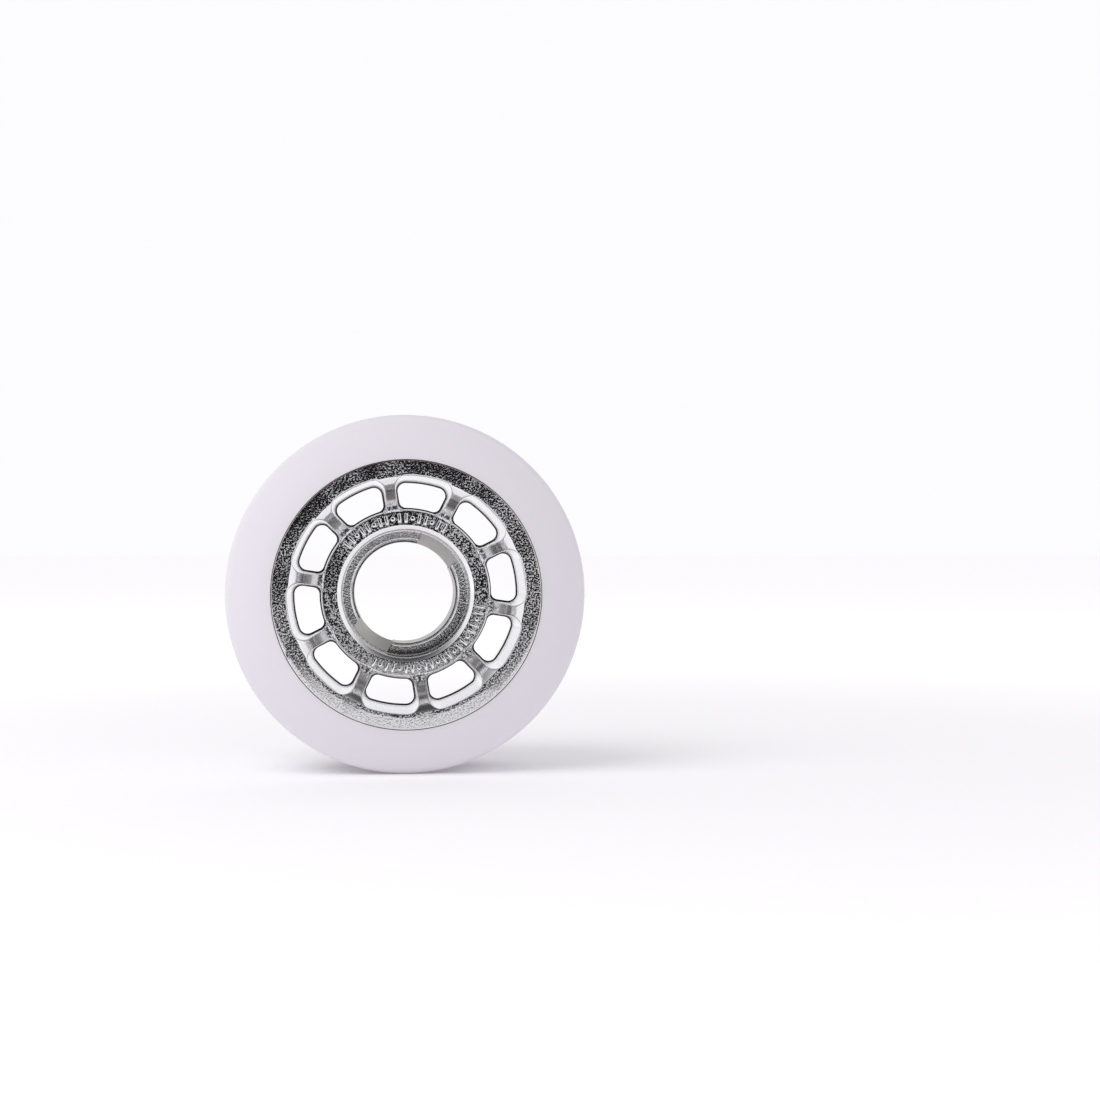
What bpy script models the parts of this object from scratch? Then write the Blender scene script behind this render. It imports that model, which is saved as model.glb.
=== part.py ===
"""Quad roller-skate wheel, 61 mm, bare: a cast polyurethane tyre on a die-cast hub.

The wheel stands upright on its tread. It spins about the world Y axis, its open, dished
side faces -Y, and the origin is on the spin axis at the middle of the overall width.
Everything is modelled lying down, with the spin axis on Z and depth measured from the
front face, and hangs from one empty that stands the wheel up.
"""
import math

import bmesh
import bpy
from mathutils import Matrix, Vector

# ---- driving sizes, in metres; a depth is measured from the front face -------------
WHEEL_DIAMETER = 0.0610

BEARING_DIAMETER = 0.0220        # outer ring of a 608 or 627 ball bearing
SEAT_DEPTH = 0.0070              # width of the same bearing
SHOULDER_LENGTH = 0.0110         # metal between the two bearings
SHOULDER_HEIGHT = 0.0021         # how far the shoulder stands inside the seat
SHOULDER_CHAMFER = 0.0006
SEAT_MOUTH_ROUND = 0.0007
BARREL_WALL = 0.0035             # around the seats, at the front end
BARREL_TAPER = 0.0006            # the barrel's radius shrinks by this towards the back
BARREL_RECESS = 0.0080           # front end of the barrel, behind the front face
BOSS_CHAMFER = 0.0012

RIM_DIAMETER = 0.0448            # the hub where the tyre is cast on it
RIM_INSET = 0.0003               # the rim ends this far inside the tyre's back edge
RIM_WALL_BACK = 0.0021
FLANGE_WIDTH = 0.00255           # flat front annulus, with the spoke roots
SPOKE_ROOT_SLOPE = 0.36          # slope at a spoke's root, as a share of its mean slope
SPOKE_STEPS = 4                  # straight pieces along a spoke's bowed front
WEB_BACK_DEPTH = 0.0150
WEB_STEP = 0.0005                # the barrel's end stands this proud of the spokes

WINDOW_COUNT = 10
WINDOW_PHASE_DEG = 8.9           # first window, clockwise from the top
WINDOW_RIM_WALL = 0.00325        # rim metal outside a window at the parting plane
PARTING_DEPTH = 0.0095           # narrowest section, where the two mould halves met
SPOKE_WIDTH = 0.0028             # at the parting plane
SIDE_DRAFT_DEG = 3.8
RIM_DRAFT_DEG = 5.4
WINDOW_CORNER_FRONT = 0.0019
WINDOW_CORNER_PARTING = 0.0012
CORNER_SHARE = 0.4               # a corner's radius is at most this share of a window's height

NOTCH_WIDTH = 0.0073             # ramped slot across each shoulder, for a bearing puller
NOTCH_RUN = 0.0055
NOTCH_PHASE_DEG = 37.0
NOTCH_SEAT_GAP = 0.00025         # the ramp starts this far inside the seat's wall

BOND_THICKNESS = 0.0003          # cured adhesive between hub and tyre
FIT_GAP = 0.0003                 # between touching solids
BOND_INSET = 0.0002              # the film ends this far inside the rim's ends

TYRE_SIDE_RISE_FRONT = 0.0036    # depth where the front sidewall would meet the tread
TYRE_WIDTH = 0.0277
TYRE_SIDE_RISE_BACK = 0.0033
TREAD_CORNER_ROUND = 0.0022
SIDEWALL_BULGE = 0.0003
GROOVE_DEPTH = 0.0024
GROOVE_START = 0.0130            # steep front wall of the tread groove
GROOVE_FLOOR_WIDTH = 0.0012
GROOVE_BACK_RUN = 0.0022         # the back wall slopes out over this width
GROOVE_ROOT_ROUND = 0.0007

# ---- how finely the round shapes are cut ---------------------------------------------
TURN_SEGMENTS = 60               # a multiple of 4, so that a flat lies at the bottom
FILLET_SEGMENTS = 4
SMALL_ROUND_SEGMENTS = 3
MERGE_DISTANCE = 0.00001
SHARP_EDGE_DEG = 28              # an edge that turns more than this stays crisp
CUTTER_CLEARANCE = 0.0001
CUTTER_OVERRUN = 0.0006

# ---- sizes that follow ---------------------------------------------------------------
SEAT_RADIUS = BEARING_DIAMETER / 2
BORE_RADIUS = SEAT_RADIUS - SHOULDER_HEIGHT
BARREL_RADIUS = SEAT_RADIUS + BARREL_WALL
BARREL_LENGTH = 2 * SEAT_DEPTH + SHOULDER_LENGTH
OVERALL_WIDTH = BARREL_RECESS + BARREL_LENGTH
FRONT_SHOULDER_DEPTH = BARREL_RECESS + SEAT_DEPTH
BACK_SHOULDER_DEPTH = FRONT_SHOULDER_DEPTH + SHOULDER_LENGTH
RIM_RADIUS = RIM_DIAMETER / 2
BOND_INNER_RADIUS = RIM_RADIUS + FIT_GAP
BOND_OUTER_RADIUS = BOND_INNER_RADIUS + BOND_THICKNESS
TYRE_BORE_RADIUS = BOND_OUTER_RADIUS + FIT_GAP
RIM_WIDTH = TYRE_WIDTH - RIM_INSET
TREAD_RADIUS = WHEEL_DIAMETER / 2
SEGMENT_ANGLE = 2 * math.pi / TURN_SEGMENTS
# A turned shape has flat facets. Its corners are pushed out so that the flats, which
# other things touch, lie at the stated radius.
FLAT_TO_CORNER = 1 / math.cos(SEGMENT_ANGLE / 2)


def clear_scene():
    for obj in list(bpy.data.objects):
        bpy.data.objects.remove(obj, do_unlink=True)


def new_collection(name):
    collection = bpy.data.collections.new(name)
    bpy.context.scene.collection.children.link(collection)
    return collection


def new_material(name, color, metallic, roughness):
    material = bpy.data.materials.new(name)
    material.use_nodes = True
    shader = material.node_tree.nodes["Principled BSDF"]
    shader.inputs["Base Color"].default_value = (*color, 1.0)
    shader.inputs["Metallic"].default_value = metallic
    shader.inputs["Roughness"].default_value = roughness
    material.diffuse_color = (*color, 1.0)
    return material


def fillet(before, corner, after, radius, segments=FILLET_SEGMENTS):
    """Points of the arc that rounds a corner of a profile, from one tangent to the other."""
    to_before = (Vector(before) - Vector(corner)).normalized()
    to_after = (Vector(after) - Vector(corner)).normalized()
    half_angle = to_before.angle(to_after) / 2
    bisector = (to_before + to_after).normalized()
    centre = Vector(corner) + bisector * (radius / math.sin(half_angle))
    start = Vector(corner) + to_before * (radius / math.tan(half_angle)) - centre
    end = Vector(corner) + to_after * (radius / math.tan(half_angle)) - centre
    sweep = start.angle_signed(end)
    points = []
    for index in range(segments + 1):
        turn = -sweep * index / segments
        points.append(tuple(centre + Matrix.Rotation(turn, 2) @ start))
    return points


def bulged(start, end, bulge, segments=FILLET_SEGMENTS):
    """Points between two ends of a line that bows to its left by bulge, ends left out."""
    start, end = Vector(start), Vector(end)
    left = Vector((start.y - end.y, end.x - start.x)).normalized()
    points = []
    for index in range(1, segments):
        share = index / segments
        points.append(tuple(start.lerp(end, share) + left * bulge * 4 * share * (1 - share)))
    return points


def turned(name, profile, collection):
    """A closed (radius, depth) outline, down its outer side first, turned about Z."""
    bm = bmesh.new()
    corners = [bm.verts.new((radius * FLAT_TO_CORNER, 0.0, depth)) for radius, depth in profile]
    for index, corner in enumerate(corners):
        bm.edges.new((corner, corners[(index + 1) % len(corners)]))
    mesh = bpy.data.meshes.new(name)
    bm.to_mesh(mesh)
    bm.free()
    # A half-segment turn puts a flat, and not a corner, at the top and at the bottom.
    mesh.transform(Matrix.Rotation(SEGMENT_ANGLE / 2, 4, "Z"))
    obj = bpy.data.objects.new(name, mesh)
    collection.objects.link(obj)
    screw = obj.modifiers.new("turn", "SCREW")
    screw.axis = "Z"
    screw.angle = 2 * math.pi
    screw.steps = TURN_SEGMENTS
    screw.render_steps = TURN_SEGMENTS
    screw.use_merge_vertices = True
    screw.merge_threshold = MERGE_DISTANCE
    return obj


def settled(obj):
    """Applies an object's modifiers and shades its round faces smooth."""
    graph = bpy.context.evaluated_depsgraph_get()
    mesh = bpy.data.meshes.new_from_object(obj.evaluated_get(graph))
    obj.modifiers.clear()
    obj.data = mesh
    mesh.name = obj.name
    mesh.shade_smooth()
    mesh.set_sharp_from_angle(angle=math.radians(SHARP_EDGE_DEG))
    return obj


def clockwise_from_top(degrees):
    """Turn about the lying wheel's Z that carries +X to this clock angle on the standing one."""
    return math.radians(degrees) - math.pi / 2


# ---- hub -------------------------------------------------------------------------------
def spoke_front(root, foot):
    """Points along a spoke's front between its ends: it leaves the flange gently, then dives."""
    points = []
    for step in range(1, SPOKE_STEPS):
        share = step / SPOKE_STEPS
        fall = SPOKE_ROOT_SLOPE * share + (1 - SPOKE_ROOT_SLOPE) * share * share
        points.append((root[0] + (foot[0] - root[0]) * share, root[1] + (foot[1] - root[1]) * fall))
    return points


def hub_profile():
    outer_back = (RIM_RADIUS, RIM_WIDTH)
    outer_front = (RIM_RADIUS, 0.0)
    flange_inner = (RIM_RADIUS - FLANGE_WIDTH, 0.0)
    web_foot = (BARREL_RADIUS, BARREL_RECESS + WEB_STEP)
    barrel_front = (BARREL_RADIUS, BARREL_RECESS)
    mouth = (SEAT_RADIUS, BARREL_RECESS)
    front_seat_foot = (SEAT_RADIUS, FRONT_SHOULDER_DEPTH)
    back_seat_foot = (SEAT_RADIUS, BACK_SHOULDER_DEPTH)
    front_inner = (BORE_RADIUS, FRONT_SHOULDER_DEPTH + SHOULDER_CHAMFER)
    back_inner = (BORE_RADIUS, BACK_SHOULDER_DEPTH - SHOULDER_CHAMFER)
    back_mouth = (SEAT_RADIUS, OVERALL_WIDTH)
    boss_radius = BARREL_RADIUS - BARREL_TAPER
    boss_corner = (boss_radius, OVERALL_WIDTH)
    taper_share = (WEB_BACK_DEPTH - BARREL_RECESS) / BARREL_LENGTH
    web_back_inner = (BARREL_RADIUS - BARREL_TAPER * taper_share, WEB_BACK_DEPTH)
    parting_rim_radius = RIM_RADIUS - WINDOW_RIM_WALL
    sleeve_front_radius = parting_rim_radius + window_rim_draft(WEB_BACK_DEPTH) + CUTTER_CLEARANCE
    sleeve_front = (sleeve_front_radius, WEB_BACK_DEPTH)
    sleeve_back = (RIM_RADIUS - RIM_WALL_BACK, RIM_WIDTH)
    profile = [outer_back, outer_front, flange_inner]
    profile += spoke_front(flange_inner, web_foot)
    profile += [web_foot, barrel_front]
    profile += fillet(barrel_front, mouth, front_seat_foot, SEAT_MOUTH_ROUND, SMALL_ROUND_SEGMENTS)
    profile += [front_seat_foot]
    profile += [(BORE_RADIUS + SHOULDER_CHAMFER, FRONT_SHOULDER_DEPTH), front_inner]
    profile += [back_inner, (BORE_RADIUS + SHOULDER_CHAMFER, BACK_SHOULDER_DEPTH)]
    profile += [back_seat_foot]
    profile += fillet(back_seat_foot, back_mouth, boss_corner, SEAT_MOUTH_ROUND, SMALL_ROUND_SEGMENTS)
    profile += fillet(back_mouth, boss_corner, web_back_inner, BOSS_CHAMFER, SMALL_ROUND_SEGMENTS)
    profile += [web_back_inner, sleeve_front, sleeve_back]
    return profile


def window_rim_draft(depth):
    """How much the windows' outer wall has opened at this depth."""
    return abs(depth - PARTING_DEPTH) * math.tan(math.radians(RIM_DRAFT_DEG))


def window_outline(depth):
    """Half outline of a window at one depth, on its own +X, outer arc to inner arc."""
    half_pitch = math.pi / WINDOW_COUNT
    side_draft = abs(depth - PARTING_DEPTH) * math.tan(math.radians(SIDE_DRAFT_DEG))
    half_spoke = SPOKE_WIDTH / 2 - side_draft
    outer = RIM_RADIUS - WINDOW_RIM_WALL + window_rim_draft(depth)
    inner = BARREL_RADIUS * FLAT_TO_CORNER + CUTTER_CLEARANCE
    front_share = max(0.0, 1 - depth / PARTING_DEPTH)
    corner = WINDOW_CORNER_PARTING + (WINDOW_CORNER_FRONT - WINDOW_CORNER_PARTING) * front_share
    corner = min(corner, CORNER_SHARE * (outer - inner))
    along = Vector((math.cos(half_pitch), math.sin(half_pitch)))
    across = Vector((math.sin(half_pitch), -math.cos(half_pitch)))
    offset = half_spoke + corner
    outer_centre = along * math.sqrt((outer - corner) ** 2 - offset ** 2) + across * offset
    inner_centre = along * math.sqrt((inner + corner) ** 2 - offset ** 2) + across * offset
    outer_angle = math.atan2(outer_centre.y, outer_centre.x)
    inner_angle = math.atan2(inner_centre.y, inner_centre.x)
    side_angle = half_pitch + math.pi / 2
    points = [Vector((outer, 0.0))]
    points.append(Vector((math.cos(outer_angle / 2), math.sin(outer_angle / 2))) * outer)
    for centre, first, last in ((outer_centre, outer_angle, side_angle),
                                (inner_centre, side_angle, inner_angle + math.pi)):
        for index in range(FILLET_SEGMENTS):
            angle = first + (last - first) * index / (FILLET_SEGMENTS - 1)
            points.append(centre + Vector((math.cos(angle), math.sin(angle))) * corner)
    points.append(Vector((math.cos(inner_angle / 2), math.sin(inner_angle / 2))) * inner)
    points.append(Vector((inner, 0.0)))
    return points


def window_cutter(index, collection):
    """A loft through three sections: it is narrowest at the parting plane."""
    bm = bmesh.new()
    rings = []
    for depth in (-CUTTER_OVERRUN, PARTING_DEPTH, WEB_BACK_DEPTH + CUTTER_OVERRUN):
        half = window_outline(depth)
        mirrored = [Vector((point.x, -point.y)) for point in reversed(half[1:-1])]
        rings.append([bm.verts.new((*point, depth)) for point in half + mirrored])
    for lower, upper in zip(rings, rings[1:]):
        count = len(lower)
        for step in range(count):
            after = (step + 1) % count
            bm.faces.new((lower[step], lower[after], upper[after], upper[step]))
    bm.faces.new(list(reversed(rings[0])))
    bm.faces.new(rings[-1])
    bmesh.ops.recalc_face_normals(bm, faces=bm.faces)
    name = f"window_cutter_{index + 1:02d}"
    mesh = bpy.data.meshes.new(name)
    bm.to_mesh(mesh)
    bm.free()
    clock = WINDOW_PHASE_DEG + index * 360 / WINDOW_COUNT
    mesh.transform(Matrix.Rotation(clockwise_from_top(clock), 4, "Z"))
    return add_cutter(name, mesh, collection)


def notch_cutter(name, shoulder_depth, inward, collection):
    """A short cone cut to a slot's width; its ramp runs from the seat into the bore."""
    mouth_radius = SEAT_RADIUS - NOTCH_SEAT_GAP
    foot_radius = BORE_RADIUS - CUTTER_CLEARANCE
    slope = (mouth_radius - foot_radius) / NOTCH_RUN
    overrun = NOTCH_SEAT_GAP / slope / 2
    length = NOTCH_RUN + overrun
    bm = bmesh.new()
    bmesh.ops.create_cone(
        bm, cap_ends=True, segments=TURN_SEGMENTS,
        radius1=mouth_radius + slope * overrun, radius2=foot_radius, depth=length,
        matrix=Matrix.Translation((0, 0, length / 2 - overrun)))
    for side in (-1, 1):
        geometry = bm.verts[:] + bm.edges[:] + bm.faces[:]
        bmesh.ops.bisect_plane(
            bm, geom=geometry, plane_co=(0, side * NOTCH_WIDTH / 2, 0),
            plane_no=(0, side, 0), clear_outer=True)
        open_edges = [edge for edge in bm.edges if edge.is_boundary]
        bmesh.ops.holes_fill(bm, edges=open_edges)
    if inward < 0:
        bmesh.ops.rotate(bm, verts=bm.verts, matrix=Matrix.Rotation(math.pi, 3, "X"))
    bmesh.ops.recalc_face_normals(bm, faces=bm.faces)
    mesh = bpy.data.meshes.new(name)
    bm.to_mesh(mesh)
    bm.free()
    mesh.transform(Matrix.Rotation(clockwise_from_top(NOTCH_PHASE_DEG), 4, "Z"))
    mesh.transform(Matrix.Translation((0, 0, shoulder_depth)))
    return add_cutter(name, mesh, collection)


def add_cutter(name, mesh, collection):
    cutter = bpy.data.objects.new(name, mesh)
    cutter.hide_render = True
    cutter.display_type = "WIRE"
    collection.objects.link(cutter)
    return cutter


def build_hub(collection, cutters):
    hub = turned("hub", hub_profile(), collection)
    for index in range(WINDOW_COUNT):
        window_cutter(index, cutters)
    notch_cutter("front_notch_cutter", FRONT_SHOULDER_DEPTH, 1, cutters)
    notch_cutter("back_notch_cutter", BACK_SHOULDER_DEPTH, -1, cutters)
    cut = hub.modifiers.new("windows and notches", "BOOLEAN")
    cut.operation = "DIFFERENCE"
    cut.operand_type = "COLLECTION"
    cut.collection = cutters
    cut.solver = "EXACT"
    settled(hub)
    hub.data.materials.clear()
    hub.data.materials.append(new_material("chromed die-cast alloy", (0.78, 0.78, 0.79), 1.0, 0.12))
    return hub


# ---- bond film -------------------------------------------------------------------------
def build_bond_layer(collection):
    profile = [
        (BOND_OUTER_RADIUS, RIM_WIDTH - BOND_INSET),
        (BOND_OUTER_RADIUS, BOND_INSET),
        (BOND_INNER_RADIUS, BOND_INSET),
        (BOND_INNER_RADIUS, RIM_WIDTH - BOND_INSET),
    ]
    film = settled(turned("bond_layer", profile, collection))
    film.data.materials.append(new_material("cured adhesive", (0.36, 0.27, 0.13), 0.0, 0.45))
    return film


# ---- tyre ------------------------------------------------------------------------------
def tyre_profile():
    front_edge = (TYRE_BORE_RADIUS, 0.0)
    back_edge = (TYRE_BORE_RADIUS, TYRE_WIDTH)
    front_corner = (TREAD_RADIUS, TYRE_SIDE_RISE_FRONT)
    back_corner = (TREAD_RADIUS, TYRE_WIDTH - TYRE_SIDE_RISE_BACK)
    floor_radius = TREAD_RADIUS - GROOVE_DEPTH
    groove_top_front = (TREAD_RADIUS, GROOVE_START)
    groove_floor_front = (floor_radius, GROOVE_START)
    groove_floor_back = (floor_radius, GROOVE_START + GROOVE_FLOOR_WIDTH)
    groove_top_back = (TREAD_RADIUS, GROOVE_START + GROOVE_FLOOR_WIDTH + GROOVE_BACK_RUN)
    back_round = fillet(back_edge, back_corner, groove_top_back, TREAD_CORNER_ROUND)
    front_round = fillet(groove_top_front, front_corner, front_edge, TREAD_CORNER_ROUND)
    profile = [back_edge]
    profile += bulged(back_edge, back_round[0], SIDEWALL_BULGE)
    profile += back_round
    profile += [groove_top_back]
    profile += fillet(groove_top_back, groove_floor_back, groove_floor_front, GROOVE_ROOT_ROUND)
    profile += [groove_floor_front, groove_top_front]
    profile += front_round
    profile += bulged(front_round[-1], front_edge, SIDEWALL_BULGE)
    profile += [front_edge]
    return profile


def build_tyre(collection):
    tyre = settled(turned("tyre", tyre_profile(), collection))
    tyre.data.materials.append(new_material("white polyurethane", (0.86, 0.84, 0.88), 0.0, 0.42))
    return tyre


def main():
    clear_scene()
    wheel = new_collection("roller_skate_wheel")
    cutters = new_collection("cutters")
    stand = bpy.data.objects.new("wheel_centre", None)
    wheel.objects.link(stand)
    pieces = [build_hub(wheel, cutters), build_bond_layer(wheel), build_tyre(wheel)]
    for piece in pieces + list(cutters.objects):
        piece.parent = stand
    stand.rotation_euler = (-math.pi / 2, 0.0, 0.0)
    stand.location = (0.0, -OVERALL_WIDTH / 2, 0.0)
    bpy.context.view_layer.update()


main()
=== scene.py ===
"""Quad roller-skate wheel: a white polyurethane tyre cast on a chromed, spoked hub.

Each turned or spoked piece is modelled lying down, with the spin axis on Z and its depth
measured from the wheel's open front face, and is then stood up in the part's own frame.
Lengths are in metres.
"""
import math

import bmesh
import bpy
from mathutils import Matrix, Vector


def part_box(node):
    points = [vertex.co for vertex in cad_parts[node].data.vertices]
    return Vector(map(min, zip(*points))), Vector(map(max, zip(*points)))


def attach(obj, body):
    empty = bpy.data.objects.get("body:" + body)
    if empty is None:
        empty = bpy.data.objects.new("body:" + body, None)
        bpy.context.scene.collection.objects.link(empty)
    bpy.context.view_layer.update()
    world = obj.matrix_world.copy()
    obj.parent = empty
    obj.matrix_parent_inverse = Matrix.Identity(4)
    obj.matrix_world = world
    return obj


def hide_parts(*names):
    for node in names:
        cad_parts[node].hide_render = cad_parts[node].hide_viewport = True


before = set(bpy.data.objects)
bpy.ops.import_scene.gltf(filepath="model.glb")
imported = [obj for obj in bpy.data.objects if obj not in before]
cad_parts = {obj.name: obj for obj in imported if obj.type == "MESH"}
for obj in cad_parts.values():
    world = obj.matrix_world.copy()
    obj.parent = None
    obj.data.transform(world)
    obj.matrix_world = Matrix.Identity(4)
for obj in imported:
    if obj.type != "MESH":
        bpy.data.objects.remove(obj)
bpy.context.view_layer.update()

MM = 0.001

# ---- places read from the frame ----------------------------------------------------
hub_low, hub_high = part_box("hub")
tyre_low, tyre_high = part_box("tyre")
FRONT = hub_low[1]                                # the open front face, in the row's frame
WIDTH = hub_high[1] - hub_low[1]                  # front face to the end of the boss
RIM_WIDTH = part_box("bond_layer")[1][1] - FRONT + 0.2 * MM
TREAD_RADIUS = (tyre_high[0] - tyre_low[0]) / 2
TYRE_WIDTH = tyre_high[1] - FRONT
FLOOR = tyre_low[2]

# ---- hub ----------------------------------------------------------------------------
WINDOWS = 10
WINDOW_PHASE = math.radians(8.9)                  # first window, clockwise from the top
PITCH = 2 * math.pi / WINDOWS
RIM_RADIUS = 22.62 * MM
FLANGE_EDGE = 0.15 * MM
FLAT_INNER = 19.85 * MM                           # the flat flange ends here on the spokes
SLOPE_BLEND = 0.12 * MM
ROOT_SLOPE = 0.36                                 # slope at a spoke's root, as a share of its mean
BARREL_FRONT = 8.0 * MM
BARREL_EDGE = 13.85 * MM
BARREL_LIP = 14.2 * MM                            # the annulus starts to round over here
BARREL_SIDE = 14.42 * MM
SPOKE_FOOT = 14.6 * MM
SPOKE_STEP = 0.5 * MM
PARTING = 10.4 * MM
LEDGE = 0.25 * MM                                 # flash witness left at the parting plane
WEB_BACK = 15.0 * MM
WINDOW_FRONT = 20.05 * MM                         # reach of a window's outer wall, front to back
WINDOW_LEDGE = 19.33 * MM
WINDOW_BACK = 19.7 * MM
HALF_SPOKE_FRONT = 0.86 * MM
HALF_SPOKE_LEDGE = 1.16 * MM
HALF_SPOKE_BACK = 1.1 * MM
LIP = 0.2 * MM
LIP_STEP = 0.07 * MM                              # the wall is stepped in under its rounded lip
SEAT_RADIUS = 11.0 * MM
SEAT_DEPTH = 7.0 * MM
SEAT_MOUTH = 0.76 * MM                            # lead-in chamfer for the bearing
SEAT_MOUTH_DEPTH = 0.46 * MM
BORE_RADIUS = 8.9 * MM
SHOULDER_CHAMFER = 0.6 * MM
BOSS_RADIUS = 13.9 * MM
BOSS_CHAMFER = 1.2 * MM
SLEEVE_BACK = 20.3 * MM

NOTCH_WIDTH = 7.3 * MM
NOTCH_RUN = 5.5 * MM
NOTCH_PHASE = math.radians(37)

# ---- tyre and bond film --------------------------------------------------------------
BOND_INNER = 22.64 * MM
BOND_OUTER = 22.71 * MM
TYRE_BORE = 22.72 * MM
TREAD_START = 3.6 * MM
TREAD_END_RISE = 3.3 * MM
CORNER_ROUND = 2.2 * MM
SIDEWALL_BULGE = 0.3 * MM
GROOVE_START = 13.0 * MM
GROOVE_FLOOR = 1.2 * MM
GROOVE_DEPTH = 2.4 * MM
GROOVE_BACK_RUN = 2.2 * MM
TURN_STEPS = 320                                  # flats round the tyre and the film


# ---- modelling helpers ----------------------------------------------------------------
def deselect():
    if bpy.context.mode != "OBJECT":
        bpy.ops.object.mode_set(mode="OBJECT")
    bpy.ops.object.select_all(action="DESELECT")


def arc(centre, radius, first, last, steps):
    """Points of an arc in the (radius, depth) plane; angles in degrees from +radius to +depth."""
    points = []
    for index in range(steps + 1):
        angle = math.radians(first + (last - first) * index / steps)
        points.append((centre[0] + radius * math.cos(angle), centre[1] + radius * math.sin(angle)))
    return points


def rounded(before, corner, after, radius, steps=8):
    """Points of the arc that rounds a profile's corner."""
    before, corner, after = Vector(before), Vector(corner), Vector(after)
    one = (before - corner).normalized()
    two = (after - corner).normalized()
    half = one.angle(two) / 2
    centre = corner + (one + two).normalized() * (radius / math.sin(half))
    start = corner + one * (radius / math.tan(half)) - centre
    end = corner + two * (radius / math.tan(half)) - centre
    turn = start.angle_signed(end)
    return [tuple(centre + Matrix.Rotation(-turn * i / steps, 2) @ start) for i in range(steps + 1)]


def bowed(start, end, bulge, steps=8):
    """Points between two ends of a line that bows to its left, ends left out."""
    start, end = Vector(start), Vector(end)
    left = Vector((start.y - end.y, end.x - start.x)).normalized()
    shares = [index / steps for index in range(1, steps)]
    return [tuple(start.lerp(end, s) + left * bulge * 4 * s * (1 - s)) for s in shares]


def begin_ring(name, radius, depth, count):
    deselect()
    bpy.ops.mesh.primitive_circle_add(vertices=count, radius=radius, location=(0, 0, depth))
    piece = bpy.context.object
    piece.name = name
    bpy.ops.object.mode_set(mode="EDIT")
    bpy.ops.mesh.select_mode(type="EDGE")
    bpy.ops.mesh.select_all(action="SELECT")
    return piece


def pull_ring(here, there):
    """Extrudes the selected ring from one (radius, depth) to the next."""
    bpy.ops.mesh.extrude_edges_move()
    scale = there[0] / here[0]
    bpy.ops.transform.resize(value=(scale, scale, 1), center_override=(0, 0, here[1]))
    bpy.ops.transform.translate(value=(0, 0, there[1] - here[1]))


def turn_profile(name, profile, count, closed=True):
    """Turns a (radius, depth) outline by extruding a ring through its points."""
    piece = begin_ring(name, profile[0][0], profile[0][1], count)
    points = profile + [profile[0]] if closed else profile
    for here, there in zip(points, points[1:]):
        pull_ring(here, there)
    bpy.ops.mesh.select_all(action="SELECT")
    bpy.ops.mesh.remove_doubles(threshold=0.002 * MM)
    bpy.ops.mesh.normals_make_consistent(inside=False)
    bpy.ops.object.mode_set(mode="OBJECT")
    return piece


def stand_up(piece):
    """Turns a lying piece so that its depth runs along +Y, and applies its place."""
    deselect()
    piece.select_set(True)
    bpy.context.view_layer.objects.active = piece
    bpy.ops.object.transform_apply(location=True, rotation=True, scale=True)
    piece.rotation_euler = (-math.pi / 2, 0, 0)
    piece.location = (0, FRONT, 0)
    bpy.ops.object.transform_apply(location=True, rotation=True, scale=True)


def smooth(piece, degrees=30):
    deselect()
    piece.select_set(True)
    bpy.context.view_layer.objects.active = piece
    bpy.ops.object.shade_smooth_by_angle(angle=math.radians(degrees))


def keep_flats_flat(piece):
    """Weights the normals by face size, so that rounded edges don't shade the flats beside them."""
    deselect()
    piece.select_set(True)
    bpy.context.view_layer.objects.active = piece
    weighting = piece.modifiers.new("flats", "WEIGHTED_NORMAL")
    weighting.keep_sharp = True
    bpy.ops.object.modifier_apply(modifier=weighting.name)


def clock(angle):
    """Turn about Z, lying down, that carries +X to a clock angle of the standing wheel."""
    return angle - math.pi / 2


# ---- hub: one window's sector, copied round, then pulled into the barrel and the rim ----
OUTER_ARC, OUTER_CORNER, SIDE, INNER_CORNER, INNER_ARC = 10, 13, 18, 12, 6
FOOT_STEPS = 5


def window_half(outer, inner, half_spoke, outer_round, inner_round):
    """Half a window's outline on its own +X, from the middle of its outer arc to its inner one."""
    half = PITCH / 2
    along = Vector((math.cos(half), math.sin(half)))
    across = Vector((math.sin(half), -math.cos(half)))

    def corner_centre(reach, roundness):
        offset = half_spoke + roundness
        return along * math.sqrt(reach ** 2 - offset ** 2) + across * offset

    def on_arc(centre, roundness, angle):
        return centre + Vector((math.cos(angle), math.sin(angle))) * roundness

    top = corner_centre(outer - outer_round, outer_round)
    low = corner_centre(inner + inner_round, inner_round)
    top_angle = math.atan2(top.y, top.x)
    low_angle = math.atan2(low.y, low.x)
    side_angle = half + math.pi / 2
    points = []
    for index in range(OUTER_ARC):
        angle = top_angle * index / OUTER_ARC
        points.append(Vector((math.cos(angle), math.sin(angle))) * outer)
    for index in range(OUTER_CORNER):
        angle = top_angle + (side_angle - top_angle) * index / (OUTER_CORNER - 1)
        points.append(on_arc(top, outer_round, angle))
    side_start = points[-1]
    side_end = on_arc(low, inner_round, side_angle)
    for index in range(1, SIDE):
        points.append(side_start.lerp(side_end, index / SIDE))
    for index in range(INNER_CORNER):
        angle = side_angle + (low_angle + math.pi - side_angle) * index / (INNER_CORNER - 1)
        points.append(on_arc(low, inner_round, angle))
    for index in range(1, INNER_ARC + 1):
        angle = low_angle * (1 - index / INNER_ARC)
        points.append(Vector((math.cos(angle), math.sin(angle))) * inner)
    return points


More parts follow.
